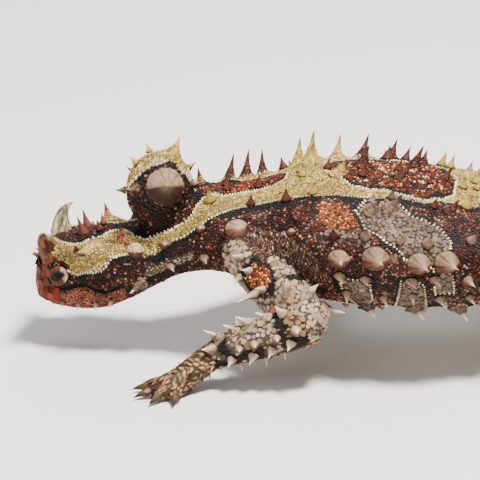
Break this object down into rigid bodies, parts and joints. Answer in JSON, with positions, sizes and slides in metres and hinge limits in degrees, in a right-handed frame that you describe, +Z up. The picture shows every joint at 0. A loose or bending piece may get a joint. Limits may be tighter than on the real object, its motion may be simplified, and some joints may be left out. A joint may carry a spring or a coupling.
{
  "type": "thorny devil",
  "caption": "Life-size standing thorny devil lizard, a still model with spined skin, brow horns, nape knob and raised tail, for a shelf or a diorama.",
  "frame": {"origin": "on the floor, under the middle of the box of the whole model", "axes": "+Z up; the snout points to -X, the animal's left side to -Y"},
  "size_m": [0.1492, 0.0708, 0.0489],
  "materials": {
    "skin": "dry granular scales in cream, brown and black",
    "horn": "dull keratin",
    "eye": "wet gloss"
  },
  "bodies": {
    "root": {"head": "skin", "lower_jaw": "skin", "eye_left": "eye", "eye_right": "eye", "horn_left": "horn", "horn_right": "horn", "nuchal_knob": "skin", "neck": "skin", "torso_front": "skin", "torso_middle": "skin", "torso_rear": "skin", "tail_base": "skin", "tail_middle": "skin", "tail_tip": "skin", "upper_arm_left": "skin", "forearm_left": "skin", "hand_left": "skin", "thigh_left": "skin", "shank_left": "skin", "foot_left": "skin", "upper_arm_right": "skin", "forearm_right": "skin", "hand_right": "skin", "thigh_right": "skin", "shank_right": "skin", "foot_right": "skin"}
  },
  "joints": []
}
